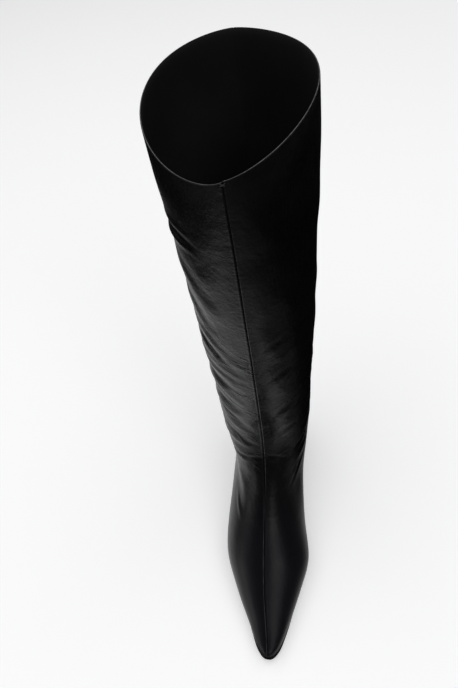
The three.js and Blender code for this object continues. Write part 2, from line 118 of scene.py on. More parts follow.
def sole_line(share):
    """Height of the line between upper and sole at a share of the boot's length."""
    tread_top = sole_thickness + piece_gap
    fall = np.clip((share - seat_end) / (tread_start - seat_end), 0, 1) ** arch_power
    rise = np.clip((share - tread_end) / (1 - tread_end), 0, 1.2) ** spring_power
    arch = (heel_height - tread_top) * (1 + np.cos(np.pi * fall)) / 2
    return tread_top + arch + toe_spring * rise


def sections():
    """Rows of front place and height, back place and height, outer and inner half width, widest,
    square, peak, sideways place, twist, dip, back seam and slant, from the collar to the toe."""
    front, back = ankle_place + ankle_depth / 2, ankle_place - ankle_depth / 2
    rows = []
    for up, fore, aft, width in SHAFT:
        height = ankle_height + (boot_height - ankle_height) * up
        half = (ankle_width + (collar_width - ankle_width) * width) / 2
        slant = np.clip((up - collar_start) / (1 - collar_start), 0, 1)
        collar_front = collar_place + collar_depth / 2
        collar_back = collar_place - collar_depth / 2
        rows.append((
            front + (collar_front - front) * fore, height + ankle_tilt * (1 - up),
            back + (collar_back - back) * aft, height - ankle_tilt * (1 - up),
            half, half, 0.5, 1.0, ankle_peak + (shaft_lens - ankle_peak) * up,
            ankle_lean + (shaft_lean - ankle_lean) * up**3, shaft_twist * up,
            collar_dip * slant, 1.0, slant,
        ))
    half = ankle_width / 2
    rows.append((front, ankle_height + ankle_tilt, back, ankle_height - ankle_tilt, half, half,
                 0.48, 1.0, ankle_peak, ankle_lean, 0.0, 0.0, 1.0, 0.0))
    for fore, top, aft, low, outer, inner, widest, square, peak, lean, bend in FOOT:
        under = low / under_share * under_drop if low < 0 else low * instep_height
        rows.append((
            fore * boot_length, sole_line(fore) + top * instep_height,
            aft * boot_length, sole_line(aft) + under,
            outer * ball_width / 2, inner * ball_width / 2, widest, square, peak,
            lean * ankle_lean + bend * toe_curve, 0.0, 0.0, 1.0 if low > 0 else 0.0, 0.0,
        ))
    return np.array(rows)


def natural_spline(places, values, at):
    """Natural cubic spline through rows of values, read at other places."""
    n = len(places)
    step = np.diff(places)
    slope = np.diff(values, axis=0) / step[:, None]
    system = np.eye(n)
    right = np.zeros_like(values)
    for i in range(1, n - 1):
        system[i, i - 1 : i + 2] = step[i - 1], 2 * (step[i - 1] + step[i]), step[i]
        right[i] = 6 * (slope[i] - slope[i - 1])
    bend = np.linalg.solve(system, right)
    k = np.clip(np.searchsorted(places, at) - 1, 0, n - 2)
    h = step[k][:, None]
    b = ((at - places[k]) / step[k])[:, None]
    a = 1 - b
    curve = ((a**3 - a) * bend[k] + (b**3 - b) * bend[k + 1]) * h * h / 6
    return a * values[k] + b * values[k + 1] + curve


def section_points(rows, angles, side):
    """Points of each section at its own angles, on the outer side (-1) or the inner side (1)."""
    (fore, top, aft, low, outer, inner, widest, square, peak, aside, twist, dip, _, slant) = (
        rows[:, k][:, None] for k in range(rows.shape[1]))
    sine, cosine = np.sin(angles), np.clip(np.cos(angles), 0, 1)
    half = outer if side < 0 else inner
    power = np.where(sine > 0, peak, square * peak)
    across = side * half * cosine**power
    share = widest + np.where(sine > 0, 1 - widest, widest) * sine
    centre = (aft + fore) / 2
    ahead = aft + (fore - aft) * share - centre
    height = low + (top - low) * share - dip * np.clip(share, 0, 1) ** dip_power
    height -= 2 * slant * cosine * share * (outer_drop if side < 0 else -inner_lift)
    return np.stack([
        aside + across * np.cos(twist) + ahead * np.sin(twist),
        -(centre + ahead * np.cos(twist) - across * np.sin(twist)),
        height,
    ], axis=-1)


# Rows of the sheet down the boot, with closer ones at the collar, round the heel and at the toe, and
# its columns, with closer ones at the seams. Halvings find a place on the sole line.
RING_STEP, TOE_STEP, TOE_ROWS = 2.2, 0.8, 6
COLLAR_STEPS, NEXT_STEP = (0.3, 0.7, 1.3), 0.05
HEEL_ROWS, HEEL_SPAN, HEEL_GATHER, HEEL_SHARE = 12, 10.0, 2.6, 0.9
SEAM_STEPS = np.array([0.0, 0.3, 0.62, 1.0, 1.5, 2.2, 3.2, 4.6])
MIDDLE_COLUMNS, SMALL_HALF, HALVINGS = 58, 22.0, 40


def fine_sections():
    """Close sections on the splines, with one exactly where the back meets the sole line; the
    sections a hair further on, for the slope of the surface; and the number of that one."""
    rows = sections()
    front = np.hypot(np.diff(rows[:, 0]), np.diff(rows[:, 1]))
    back = np.hypot(np.diff(rows[:, 2]), np.diff(rows[:, 3]))
    along = np.concatenate([[0], np.cumsum((front + back) / 2)])
    places = []
    for i, length in enumerate(np.diff(along)):
        step = TOE_STEP if i > len(along) - TOE_ROWS else RING_STEP
        places.append(np.linspace(along[i], along[i + 1], max(2, round(length / step)), False))
    places = np.append(np.concatenate(places), along[-1])

    def over_sole(at):
        section = natural_spline(along, rows, at)
        return section[:, 3] - sole_line(section[:, 2] / boot_length)

    first = int(np.argmax(over_sole(places) < 0))
    low, high = places[first - 1], places[first]
    for _ in range(HALVINGS):
        middle = (low + high) / 2
        if over_sole(np.array([middle]))[0] > 0:
            low = middle
        else:
            high = middle
    meet = (low + high) / 2
    heel = meet + HEEL_SPAN * (np.arange(HEEL_ROWS) / HEEL_ROWS) ** HEEL_GATHER
    kept = places[first:][places[first:] > meet + HEEL_SPAN * HEEL_SHARE]
    places = np.concatenate([places[:1], COLLAR_STEPS, places[1 : first - 1], heel, kept])
    further = natural_spline(along, rows, places + NEXT_STEP)
    return natural_spline(along, rows, places), further, first - 1 + len(COLLAR_STEPS)


def column_angles(rows, first, side):
    """Angles of the columns of each section: from the back seam or the feather line at the first
    to the front seam at the last, closer together at both."""
    low = np.full(len(rows), -math.pi / 2)
    high = np.zeros(len(rows))
    for _ in range(HALVINGS):
        middle = (low + high) / 2
        p = section_points(rows, middle[:, None], side)[:, 0]
        under = p[:, 2] < sole_line(-p[:, 1] / boot_length)
        low = np.where(under, middle, low)
        high = np.where(under, high, middle)
    opened = np.arange(len(rows))[:, None] > first
    start = np.where(opened, ((low + high) / 2)[:, None], -math.pi / 2)
    half = rows[:, 4 if side < 0 else 5][:, None]
    reach = SEAM_STEPS * np.minimum(1, half / SMALL_HALF) / half
    peak, square = rows[:, 8][:, None], rows[:, 7][:, None]
    front = np.arccos(reach ** (1 / peak))
    back = np.where(opened, start + reach, -np.arccos(reach ** (1 / (square * peak))))
    share = np.linspace(0, 1, MIDDLE_COLUMNS + 2)[1:-1]
    middle = back[:, -1:] + (front[:, -1:] - back[:, -1:]) * share[None]
    return np.concatenate([back, middle, front[:, ::-1]], axis=1)


def whole_sheet(table, angles):
    """One sheet, from the outer side's lower edge over the front seam to the inner side's."""
    outer_side, inner_side = (section_points(table, angles[side], side) for side in (-1, 1))
    return np.concatenate([outer_side, inner_side[:, -2::-1]], axis=1)


rows, further_rows, heel_row = fine_sections()
angles = {side: column_angles(rows, heel_row, side) for side in (-1, 1)}
front_column = angles[-1].shape[1] - 1
skin = whole_sheet(rows, angles)
down_way = whole_sheet(further_rows, angles) - skin
# The toe tip closes in three short rows to a snub, nearly upright end. Each row gives the share of
# the width that it keeps and its step ahead.
TIP_ROWS = ((0.82, 0.2), (0.5, 0.3), (0.0, 0.45))
tip_middle = skin[-1, front_column, 0]
for kept_width, ahead in TIP_ROWS:
    tip = skin[len(rows) - 1].copy()
    tip[:, 0] = tip_middle + (tip[:, 0] - tip_middle) * kept_width
    tip[:, 1] -= ahead
    skin = np.concatenate([skin, tip[None]])
down_way = np.concatenate([down_way, np.gradient(skin, axis=0)[len(rows):]])
rows = np.concatenate([rows] + [rows[-1:]] * len(TIP_ROWS))
ring_count, column_count = skin.shape[:2]


def unit(vectors):
    """Vectors made one long."""
    return vectors / np.maximum(np.linalg.norm(vectors, axis=-1, keepdims=True), 1e-9)


def length_along(line):
    """How far along a line each of its points lies."""
    return np.append(0, np.cumsum(np.linalg.norm(np.diff(line, axis=0), axis=1)))


def surface_normals(points, down):
    """Outward normals of the sheet; its two edges join above the heel and stay open below."""
    padded = np.concatenate([points[:, -2:-1], points, points[:, 1:2]], axis=1)
    across = (padded[:, 2:] - padded[:, :-2]) / 2
    opened = slice(heel_row + 1, None)
    across[opened, 0] = points[opened, 1] - points[opened, 0]
    across[opened, -1] = points[opened, -1] - points[opened, -2]
    return unit(np.cross(down, across))


normals = surface_normals(skin, down_way)
# Places on the leather: distance down from the collar, and round from the front seam, inner side +.
down_at = np.repeat(length_along(skin[:, front_column])[:, None], column_count, axis=1)
strides = np.linalg.norm(np.diff(skin, axis=1), axis=2)
round_at = np.concatenate([np.zeros((ring_count, 1)), np.cumsum(strides, axis=1)], axis=1)
round_at -= round_at[:, front_column][:, None]
back_at = np.minimum(round_at - round_at[:, :1], round_at[:, -1:] - round_at)
above_sole = skin[..., 2] - sole_line(-skin[..., 1] / boot_length)

# Folds of the soft shaft and the ankle, given as down and round at both ends, how far the
# middle bows down the boot, depth of the trough (a ridge below nought) and its half width.
FOLDS = (
    (64, -92, 55, -24, -3, 0.9, 3.2),
    (70, -88, 60, -30, -4, -0.6, 3.4),
    (74, -84, 130, -13, -4, -1.0, 6.5),
    (104, -86, 146, -22, -5, 0.9, 6.0),
    (146, -82, 188, -4, -14, -0.9, 3.6),
    (164, -84, 198, -4, -13, 1.1, 3.6),
    (186, -78, 204, -3, -8, -0.6, 2.6),
    (197, -76, 212, -2, -5, -0.8, 3.0),
    (212, -76, 222, -4, -5, 0.9, 3.2),
    (230, -78, 246, -4, -15, -1.5, 4.4),
    (246, -72, 258, -5, -9, 0.9, 3.0),
    (256, -70, 268, -5, -8, -0.6, 2.6),
    (266, -78, 291, -3, -18, 1.4, 3.6),
    (272, -70, 299, -4, -9, -1.2, 3.4),
    (294, -72, 308, -4, -6, 1.0, 3.0),
    (306, -66, 313, -5, -3, -0.9, 2.8),
    (331, -76, 320, 6, 2, 1.2, 1.6),
    (321, -64, 312, 0, 3, -0.6, 3.6),
    (318, -6, 331, 30, -3, 0.45, 1.7),
    (328, -50, 380, -14, 3, -1.0, 8.0),
    (372, -46, 394, -26, 0, -0.45, 2.6),
    (146, 29, 164, 8, -2, 0.7, 2.6),
    (152, 32, 170, 9, -2, -0.4, 2.8),
    (185, 42, 205, 9, -3, 0.6, 2.8),
    (193, 40, 213, 10, -3, -0.45, 3.0),
    (241, 50, 261, 8, -5, 0.7, 2.8),
    (251, 47, 270, 9, -4, -0.6, 3.2),
    (280, 46, 292, 9, -3, 0.6, 3.0),
    (186, 84, 206, 46, 3, 0.9, 3.2),
    (212, 86, 222, 50, 2, -0.8, 3.0),
    (234, 88, 239, 44, 2, 0.9, 3.0),
    (254, 86, 258, 48, 2, 0.9, 3.0),
    (274, 84, 280, 46, 2, 1.1, 3.2),
    (295, 82, 300, 44, 2, 1.2, 3.2),
    (316, 80, 326, 28, -3, 1.1, 2.8),
    (334, 78, 340, 34, -2, -0.9, 3.4),
    (342, 76, 364, 28, -3, 0.7, 2.6),
    (110, 96, 150, 132, -4, 0.8, 8.0),
    (180, 132, 226, 96, 5, 0.9, 7.0),
    (250, 132, 286, 92, 6, 1.3, 5.5),
    (284, 128, 306, 84, 4, 1.5, 4.5),
    (316, 118, 330, 80, 3, -0.9, 4.5),
    (236, -132, 280, -92, 6, 1.3, 5.5),
    (276, -128, 304, -84, 4, 1.5, 4.5),
    (120, -136, 168, -100, 6, 0.9, 8.0),
    (312, -116, 330, -80, 3, -0.9, 4.5),
)
FOLD_PIECES, FADE_POWER, FOLD_STRENGTH = 9, 1.4, 1.2
LIP_PLACE, LIP_SHARE, RIDGE_LIP_SHARE = 2.0, 0.45, 0.2


def fold_relief():
    """Height of all folds over the sheet, in millimetres outwards."""
    total = np.zeros_like(down_at)
    for down_0, round_0, down_1, round_1, bow, depth, half_width in FOLDS:
        t = np.linspace(0, 1, FOLD_PIECES + 1)
        line_down = down_0 + (down_1 - down_0) * t + bow * np.sin(np.pi * t)
        line_round = round_0 + (round_1 - round_0) * t
        nearest = np.full_like(down_at, 1e9)
        share = np.zeros_like(down_at)
        for k in range(FOLD_PIECES):
            step_down = line_down[k + 1] - line_down[k]
            step_round = line_round[k + 1] - line_round[k]
            along = ((down_at - line_down[k]) * step_down + (round_at - line_round[k]) * step_round)
            along = np.clip(along / (step_down**2 + step_round**2), 0, 1)
            away = np.hypot(down_at - line_down[k] - along * step_down,
                            round_at - line_round[k] - along * step_round)
            closer = away < nearest
            nearest = np.where(closer, away, nearest)
            share = np.where(closer, (k + along) / FOLD_PIECES, share)
        fade = np.maximum(np.sin(np.pi * share), 0) ** FADE_POWER
        trough = np.exp(-((nearest / half_width) ** 2))
        lips = np.exp(-(((nearest - LIP_PLACE * half_width) / half_width) ** 2))
        lip_share = LIP_SHARE if depth > 0 else RIDGE_LIP_SHARE
        total -= depth * fade * (trough - lip_share * lips)
    return total * FOLD_STRENGTH


# Slack of soft leather: long low waves, given by height, length, skew and phase. They are lower at
# the collar and fade out on the lasted foot.
SLACK_WAVES = ((0.45, 97, 0.5, 0.4), (0.28, 58, -0.8, 2.1), (0.14, 33, 0.6, 4.0))
SLACK_WIDTH, SLACK_SHIFT = 2.3, 1.7
SLACK_END, SLACK_FADE, COLLAR_SLACK = 360.0, 60.0, 0.25
slack = np.zeros_like(down_at)
for height, length, skew, phase in SLACK_WAVES:
    down_wave = np.sin(2 * np.pi * (down_at + skew * round_at) / length + phase)
    round_wave = np.sin(2 * np.pi * round_at / (length * SLACK_WIDTH) + SLACK_SHIFT * phase)
    slack += height * down_wave * round_wave
slack *= COLLAR_SLACK + (1 - COLLAR_SLACK) * np.clip(down_at / SLACK_FADE, 0, 1)
slack *= np.clip((SLACK_END - down_at) / SLACK_FADE, 0, 1)

SEAM_DEPTH, SEAM_HALF, ROLL_PLACE, ROLL_HALF = 0.75, 0.4, 1.05, 0.6
OUTER_ROLL, INNER_ROLL = 0.26, 0.1
narrow = np.minimum(rows[:, 4], rows[:, 5])
seam_fit = np.minimum(1, narrow / SMALL_HALF)[:, None]


def seam_relief(distance, roll_height, share):
    """Closed seam: the two panels roll into a narrow groove."""
    groove = np.exp(-((distance / (SEAM_HALF * seam_fit)) ** 2))
    roll = np.exp(-(((distance - ROLL_PLACE * seam_fit) / (ROLL_HALF * seam_fit)) ** 2))
    return share * seam_fit * (roll_height * roll - SEAM_DEPTH * groove)


back_share = np.clip(rows[:, 12], 0, 1)[:, None]
relief = fold_relief() + slack
front_roll = np.where(round_at < 0, OUTER_ROLL, INNER_ROLL)
sewn = seam_relief(np.abs(round_at), front_roll, 1.0) + seam_relief(back_at, INNER_ROLL, back_share)
# All relief dies down at the sole and is lower at the collar; the seams stay clear down to the sole.
SOLE_REACH, SEAM_AT_SOLE = 6.0, 0.3
COLLAR_RELIEF, COLLAR_REACH = 0.35, 40.0
edge_hold = np.clip(above_sole / SOLE_REACH, 0, 1)
relief *= edge_hold * (COLLAR_RELIEF + (1 - COLLAR_RELIEF) * np.clip(down_at / COLLAR_REACH, 0, 1))
outside = skin + normals * (relief + sewn * np.clip(edge_hold + SEAM_AT_SOLE, 0, 1))[..., None]
# The wall is thinner where the toe is narrow, and in the three rows of its tip.
THIN_SHARE, TIP_WALL = 0.42, (0.8, 0.5, 0.2)
wall = np.minimum(leather_wall, THIN_SHARE * narrow)
wall[-len(TIP_ROWS):] *= TIP_WALL
inside = skin + normals * (relief - wall[:, None])[..., None]
inside[heel_row:, 0, 2] = outside[heel_row:, 0, 2]
inside[heel_row:, -1, 2] = outside[heel_row:, -1, 2]
# The collar's cut edge is rounded over outside and skived thin from inside.
EDGE_ROUND = (0.3, 0.06, 0.0, 0.0, 0.0)
EDGE_SKIVE = (1.05, 0.85, 0.65, 0.4, 0.15)
for row, (inset, skive) in enumerate(zip(EDGE_ROUND, EDGE_SKIVE)):
    outside[row] -= normals[row] * inset
    inside[row] += normals[row] * skive
outside[-1, :, 0] = inside[-1, :, 0] = tip_middle
for sheet in (outside, inside):
    seam_side = (sheet[:heel_row + 1, 0] + sheet[:heel_row + 1, -1]) / 2
    sheet[:heel_row + 1, 0] = seam_side
    sheet[:heel_row + 1, -1] = seam_side


def placed(points):
    """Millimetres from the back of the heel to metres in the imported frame."""
    return (points + np.array([origin_across, origin_along, 0.0])) * MM


def shown(title, data):
    """Object of the given data, linked into the scene."""
    made = bpy.data.objects.new(title, data)
    bpy.context.scene.collection.objects.link(made)
    return made


def new_object(name, vertices, faces, face_slots=None):
    """Mesh object of the given vertices and faces, with smooth faces."""
    mesh = bpy.data.meshes.new(name)
    mesh.from_pydata([tuple(v) for v in vertices], [], [tuple(f) for f in faces])
    if face_slots is not None:
        mesh.polygons.foreach_set("material_index", np.asarray(face_slots, dtype=np.int32))
    mesh.polygons.foreach_set("use_smooth", np.ones(len(mesh.polygons), dtype=bool))
    return shown(name, mesh)


def sheet_faces(row_count, columns, start=0, outward=True):
    """Quads of a sheet of vertices, row by row, seen from the side that it faces."""
    index = np.arange(row_count * columns).reshape(row_count, columns) + start
    a, b = index[:-1, :-1].ravel(), index[:-1, 1:].ravel()
    c, d = index[1:, 1:].ravel(), index[1:, :-1].ravel()
    return np.stack([a, d, c, b] if outward else [a, b, c, d], axis=1)


def strip_faces(first, second):
    """Quads between two equally long lines of vertices."""
    return np.stack([first[:-1], first[1:], second[1:], second[:-1]], axis=1)


def join_doubles(made, distance=2e-6):
    """Merges vertices at one place and turns every face outwards."""
    shape = bmesh.new()
    shape.from_mesh(made.data)
    bmesh.ops.remove_doubles(shape, verts=shape.verts, dist=distance)
    bmesh.ops.dissolve_degenerate(shape, edges=shape.edges, dist=distance / 2)
    bmesh.ops.recalc_face_normals(shape, faces=shape.faces)
    for face in shape.faces:
        face.smooth = True
    shape.to_mesh(made.data)
    shape.free()


size = ring_count * column_count
outer_index = np.arange(size).reshape(ring_count, column_count)
inner_index = outer_index + size
feather = slice(heel_row, None)
faces = [
    sheet_faces(ring_count, column_count),
    sheet_faces(ring_count, column_count, size, outward=False),
    strip_faces(outer_index[0], inner_index[0]),
    strip_faces(inner_index[feather, 0], outer_index[feather, 0]),
    strip_faces(outer_index[feather, -1], inner_index[feather, -1]),
]
LEATHER_SLOT, LINING_SLOT, EDGE_SLOT = 0, 1, 2
slots = (LEATHER_SLOT, LINING_SLOT, EDGE_SLOT, LINING_SLOT, LINING_SLOT)
face_slots = np.concatenate([np.full(len(f), slot) for f, slot in zip(faces, slots)])
vertices = np.concatenate([outside.reshape(-1, 3), inside.reshape(-1, 3)])
upper = new_object("upper_leather_shell", placed(vertices), np.concatenate(faces), face_slots)
# Places that the leather's material reads: down from the collar, round from the front seam, and
# above the sole, in metres.
for title, values in (("down", down_at), ("round", round_at), ("lift", above_sole)):
    places = upper.data.attributes.new(title, "FLOAT", "POINT")
    places.data.foreach_set("value", np.tile(values.ravel() * MM, 2).astype(np.float32))
join_doubles(upper)


def node_group(title, inputs, outputs):
    """Empty shader node group with the given sockets; gives the group and its two end nodes."""
    group = bpy.data.node_groups.new(title, "ShaderNodeTree")
    for label, kind, value in inputs:
        socket = group.interface.new_socket(label, in_out="INPUT", socket_type=kind)
        if value is not None:
            socket.default_value = value
    for label in outputs:
        group.interface.new_socket(label, in_out="OUTPUT", socket_type="NodeSocketFloat")
    return group, group.nodes.new("NodeGroupInput"), group.nodes.new("NodeGroupOutput")


class Wiring:
    """Short words for adding and joining shader nodes in one tree."""

    def __init__(self, tree):
        self.tree = tree

    def add(self, kind, settings=None, **sockets):
        node = self.tree.nodes.new(kind)
        for key, value in (settings or {}).items():
            setattr(node, key, value)
        for key, value in sockets.items():
            self.set(node, key.replace("_", " "), value)
        return node

    def set(self, node, key, value):
        socket = node.inputs[key]
        if isinstance(value, bpy.types.NodeSocket):
            self.tree.links.new(value, socket)
        else:
            socket.default_value = value

    def math(self, operation, first, second=0.0, clamp=False):
        node = self.add("ShaderNodeMath", {"operation": operation, "use_clamp": clamp})
        self.set(node, 0, first)
        self.set(node, 1, second)
        return node.outputs[0]

    def product(self, first, *others):
        for other in others:
            first = self.math("MULTIPLY", first, other)
        return first

    def total(self, first, *others):
        for other in others:
            first = self.math("ADD", first, other)
        return first

    def ramp(self, value, low, high, to_low=0.0, to_high=1.0):
        node = self.add("ShaderNodeMapRange", {"interpolation_type": "SMOOTHSTEP"}, Value=value,
                        From_Min=low, From_Max=high, To_Min=to_low, To_Max=to_high)
        return node.outputs[0]

    def fade(self, value, low, high, rest=0.0):
        return self.ramp(value, low, high, 1.0, rest)

    def blend(self, share, first, second):
        node = self.add("ShaderNodeMix", {"data_type": "RGBA"})
        for key, value in ((0, share), (6, first), (7, second)):
            self.set(node, key, value)
        return node.outputs[2]

    def noise(self, vector, scale, detail=2.0, roughness=0.5):
        node = self.add("ShaderNodeTexNoise", Vector=vector, Scale=scale, Detail=detail,
                        Roughness=roughness)
        return node.outputs[0]

    def place(self):
        return self.add("ShaderNodeTexCoord").outputs["Object"]

    def parts(self, vector):
        return self.add("ShaderNodeSeparateXYZ", Vector=vector).outputs

    def bump(self, strength, distance, height, **below):
        node = self.add("ShaderNodeBump", Strength=strength, Distance=distance, Height=height, **below)
        return node.outputs[0]


# Fine nappa grain: shallow pores between small pads, drawn out a little down the boot.
PAD_SHARE, FINE_SHARE, FINE_SCALE = 0.7, 0.3, 1.6
grain_group, grain_in, grain_out = node_group("nappa_grain", [
    ("Vector", "NodeSocketVector", None), ("Cells per metre", "NodeSocketFloat", 900.0),
    ("Stretch", "NodeSocketFloat", 0.8)], ["Height", "Pores", "Mottle"])
w = Wiring(grain_group)
cell_scale = grain_in.outputs["Cells per metre"]
drawn = w.add("ShaderNodeMapping", Vector=grain_in.outputs["Vector"])
stretch = w.add("ShaderNodeCombineXYZ", X=1.0, Y=1.0, Z=grain_in.outputs["Stretch"])
w.set(drawn, "Scale", stretch.outputs[0])
cells = w.add("ShaderNodeTexVoronoi", {"feature": "SMOOTH_F1"}, Vector=drawn.outputs[0],
              Scale=cell_scale, Smoothness=0.35)
fine = w.noise(drawn.outputs[0], w.product(cell_scale, FINE_SCALE), 3.0, 0.6)
pads = w.fade(cells.outputs["Distance"], 0.15, 0.75)
w.set(grain_out, "Height", w.total(w.product(pads, PAD_SHARE), w.product(fine, FINE_SHARE)))
w.set(grain_out, "Pores", w.math("SUBTRACT", 1.0, pads))
mottle = w.noise(grain_in.outputs["Vector"], 26.0, 4.0, 0.55)
w.set(grain_out, "Mottle", w.ramp(mottle, 0.3, 0.7))


def shaded(title, **values):
    """Node material with a Principled BSDF; gives the material, its wiring and the shader."""
    material = bpy.data.materials.new(title)
    material.use_nodes = True
    shader = material.node_tree.nodes["Principled BSDF"]
    for key, value in values.items():
        shader.inputs[key.replace("_", " ")].default_value = value
    return material, Wiring(material.node_tree), shader


def grain_at(wiring, vector, cells_per_metre):
    """Places the grain in a material with its own size; gives its outputs."""
    return wiring.add("ShaderNodeGroup", {"node_tree": grain_group}, Vector=vector,
                      Cells_per_metre=cells_per_metre).outputs


def stored(wiring, title):
    """A value kept on the mesh's points."""
    return wiring.add("ShaderNodeAttribute", {"attribute_name": title}).outputs["Fac"]


# Black nappa: near-black, satin, a little greyer and duller in scuffs; a painted cool sheen on the
# foot.
BLACK = (0.0012, 0.0012, 0.0013, 1.0)
WORN_BLACK = (0.003, 0.0029, 0.0032, 1.0)
FOOT_SHEEN_BLACK = (0.0032, 0.0029, 0.0046, 1.0)
SCUFF_GREY = (0.03, 0.028, 0.027, 1.0)
SEAM_GLINT_GREY = (0.034, 0.033, 0.036, 1.0)
GROOVE_SHADE_BLACK = (0.001, 0.001, 0.001, 1.0)
# Where an effect starts and where it is full, or gone, in metres: down from the collar, then round
# from the front seam with the inner side above nought.
SLACK_COMES, SLACK_GOES, WRINKLES_GO = (0.1, 0.19), (0.31, 0.36), (0.36, 0.42)
PUCKERS_GO, CRINKLES_GO, CRUMPLE_GOES = (0.33, 0.37), (0.06, 0.14), (0.33, 0.42)
FOOT_SHEEN_COMES, OUTER_GLINT_COMES = (0.34, 0.42), (0.34, 0.4)
INNER_GLINT_COMES, INNER_GLINT_GOES = (0.2, 0.28), (0.34, 0.36)
OUTER_SIDE, CRINKLE_START, CRINKLE_END = (-0.03, 0.02), (0.01, 0.025), (0.045, 0.07)
PUCKER_REACH, GROOVE_REACH = (0.001, 0.007), (0.0001, 0.0005)
GLINT_START, GLINT_END = (0.0005, 0.0008), (0.001, 0.0013)
FOLD_SLANT, LEAST_WRINKLES, BROAD_CRUMPLE = 0.45, 0.06, 1.6
WRINKLE_MM, VALLEY_MM, PUCKER_MM, CRINKLE_MM = 1.3, 1.6, 0.24, 0.3
CRUMPLE_MM, FOOT_CRUMPLE_MM = 0.3, 0.1
SATIN, MOTTLE_MATT, PORE_MATT, GROOVE_MATT, SCUFF_MATT = 0.27, 0.06, 0.05, 0.45, 0.18
leather, w, shader = shaded("black_nappa", Specular_IOR_Level=0.36)
place = w.place()
grain = grain_at(w, place, 950.0)
down, around, lift = (stored(w, title) for title in ("down", "round", "lift"))
# Fine wrinkles run like the folds, lower at the seam than at the sides; short puckers stand
# square to the seam, a patch below the collar on the inner side has upright crinkles, and a low
# crumple lies over the shaft and is weaker on the foot.
aside = w.math("ABSOLUTE", around)
fold_way = w.total(down, w.product(aside, FOLD_SLANT))


def drawn_noise(across, across_scale, along, along_scale, seed, detail):
    """Noise drawn out along one way of the leather, as heights from 0 to 1."""
    spot = w.add("ShaderNodeCombineXYZ", X=w.product(across, across_scale),
                 Y=w.product(along, along_scale), Z=seed)
    return w.noise(spot.outputs[0], 1.0, detail, 0.55)


wrinkles = drawn_noise(fold_way, 230.0, around, 62.0, seed=1.7, detail=4.0)
patchy = w.ramp(w.noise(place, 34.0), 0.38, 0.62, 0.35)
wrinkle_share = w.product(patchy, w.ramp(down, *SLACK_COMES), w.fade(down, *SLACK_GOES),
                          w.fade(around, *OUTER_SIDE, 0.5))
wrinkle_share = w.product(w.total(LEAST_WRINKLES, wrinkle_share), w.fade(down, *WRINKLES_GO, 0.25))
valleys = w.math("ABSOLUTE", w.math("SUBTRACT", wrinkles, 0.5))
puckers = drawn_noise(down, 430.0, around, 60.0, seed=5.1, detail=2.0)
pucker_share = w.product(w.fade(aside, *PUCKER_REACH), w.fade(down, *PUCKERS_GO, 0.15))
crinkles = drawn_noise(around, 420.0, down, 50.0, seed=8.3, detail=3.0)
crinkle_share = w.product(w.ramp(around, *CRINKLE_START), w.fade(around, *CRINKLE_END),
                          w.fade(down, *CRINKLES_GO))
crumple = w.total(w.noise(place, 240.0, 4.0, 0.6), w.product(w.noise(place, 80.0), BROAD_CRUMPLE))
relief_mm = w.total(
    w.product(wrinkles, wrinkle_share, WRINKLE_MM), w.product(puckers, pucker_share, PUCKER_MM),
    w.product(valleys, wrinkle_share, VALLEY_MM), w.product(crinkles, crinkle_share, CRINKLE_MM),
    w.product(crumple, w.ramp(down, *CRUMPLE_GOES, CRUMPLE_MM, FOOT_CRUMPLE_MM)))


def seam_glint_line(distance):
    """Thin painted highlight of the seam's rolled edge, on the side where the distance is above
    nought.
    """
    return w.product(w.ramp(distance, *GLINT_START), w.fade(distance, *GLINT_END))


scuff = w.ramp(w.noise(place, 210.0, 5.0, 0.7), 0.55, 0.75)
rubbed = w.math("MULTIPLY", scuff, w.total(0.15, w.fade(lift, 0.0, 0.012)), clamp=True)
in_groove = w.fade(aside, *GROOVE_REACH)
# Painted highlight: grey lines beside the front seam, where its rolled edge would catch the light.
outer_glint = w.product(seam_glint_line(w.product(around, -1.0)), w.ramp(down, *OUTER_GLINT_COMES))
inner_glint = w.product(seam_glint_line(around), w.ramp(down, *INNER_GLINT_COMES),
                       w.fade(down, *INNER_GLINT_GOES))
glint_breakup = w.ramp(w.noise(place, 160.0), 0.35, 0.6, 0.3)
tone = w.blend(w.product(grain["Mottle"], 0.6), BLACK, WORN_BLACK)
# Painted sheen: the foot is blended to a lighter, cooler black where the toe catches light.
tone = w.blend(w.ramp(down, *FOOT_SHEEN_COMES), tone, FOOT_SHEEN_BLACK)
tone = w.blend(w.product(rubbed, 0.5), tone, SCUFF_GREY)
tone = w.blend(w.product(w.total(outer_glint, inner_glint), glint_breakup), tone, SEAM_GLINT_GREY)
# Painted shade: the seam's groove is blended to near black, as shade in the recess, and made rougher.
w.set(shader, "Base Color", w.blend(in_groove, tone, GROOVE_SHADE_BLACK))
w.set(shader, "Roughness", w.total(
    SATIN, w.product(grain["Mottle"], MOTTLE_MATT), w.product(grain["Pores"], PORE_MATT),
    w.product(in_groove, GROOVE_MATT), w.product(rubbed, SCUFF_MATT)))
low_relief = w.bump(1.0, MM, relief_mm)
w.set(shader, "Normal", w.bump(0.3, 0.00012, grain["Height"], Normal=low_relief))

# Lining: thin matt calf, dyed black, with a faint suede nap.
LINING_BLACK, LINING_PALE = (0.006, 0.006, 0.0065, 1.0), (0.016, 0.0155, 0.017, 1.0)
lining, w, shader = shaded("black_lining", Roughness=0.8, Specular_IOR_Level=0.3)
place = w.place()
w.set(shader, "Base Color", w.blend(w.noise(place, 18.0, 3.0), LINING_BLACK, LINING_PALE))
w.set(shader, "Normal", w.bump(0.3, 0.0001, w.noise(place, 1600.0, 3.0, 0.7)))

